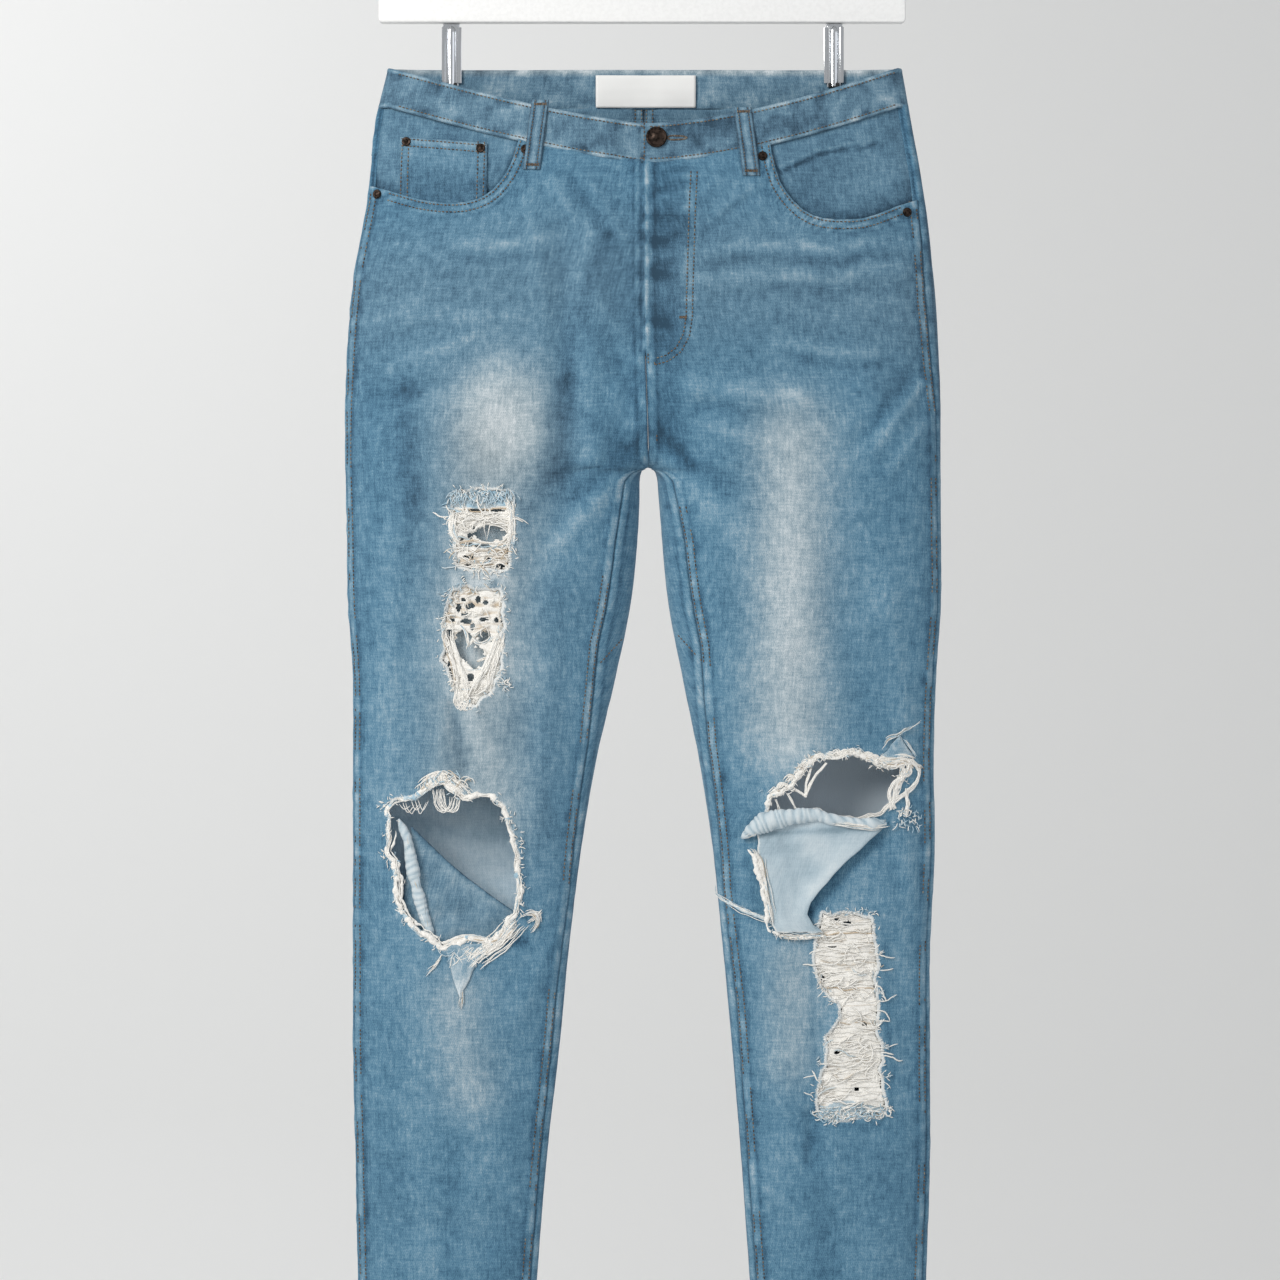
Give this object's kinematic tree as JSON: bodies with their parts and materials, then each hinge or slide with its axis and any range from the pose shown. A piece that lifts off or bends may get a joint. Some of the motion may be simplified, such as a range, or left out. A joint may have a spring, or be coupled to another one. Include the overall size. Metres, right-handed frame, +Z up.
{
  "type": "ripped jeans on a clip hanger",
  "caption": "Faded ripped skinny jeans hung by the back waistband from a clip hanger, with torn knees and thread-filled worn patches.",
  "frame": {"origin": "inner top of the hanger's hook, where it rests on a rail", "axes": "+Z up; the front of the jeans faces -Y; +X is the wearer's left"},
  "size_m": [0.478, 0.087, 1.2719],
  "materials": {
    "denim": "faded mid-blue twill",
    "denim_light": "pale wrong side of the denim",
    "thread": "bare cotton weft threads",
    "label": "plain white woven tape",
    "copper": "aged dark copper",
    "chrome": "bright plated steel",
    "rubber": "dull dark rubber",
    "board": "smooth white"
  },
  "bodies": {
    "root": {"front_panel_right": "denim", "front_panel_left": "denim", "back_panel_right": "denim", "back_panel_left": "denim", "back_yoke_right": "denim", "back_yoke_left": "denim", "waistband": "denim", "fly_placket": "denim", "pocket_facing_right": "denim", "pocket_facing_left": "denim", "coin_pocket": "denim", "back_pocket_right": "denim", "back_pocket_left": "denim", "belt_loop_front_right": "denim", "belt_loop_front_left": "denim", "belt_loop_back_right": "denim", "belt_loop_back_left": "denim", "belt_loop_back_middle": "denim", "knee_flap": "denim_light", "knee_roll": "denim_light", "thigh_threads_upper": "thread", "thigh_threads_lower": "thread", "shin_threads": "thread", "knee_hole_fray_upper": "thread", "knee_hole_fray_lower": "thread", "knee_slash_fray": "thread", "waist_label": "label", "waist_button": "copper", "rivet_coin_outer": "copper", "rivet_coin_inner": "copper", "rivet_right_inner": "copper", "rivet_right_outer": "copper", "rivet_left_inner": "copper", "rivet_left_outer": "copper", "hanger_board": "board", "hanger_hook": "chrome", "hanger_clip_right": "chrome", "hanger_clip_left": "chrome", "clip_right_foot": "rubber", "clip_left_foot": "rubber"}
  },
  "joints": []
}
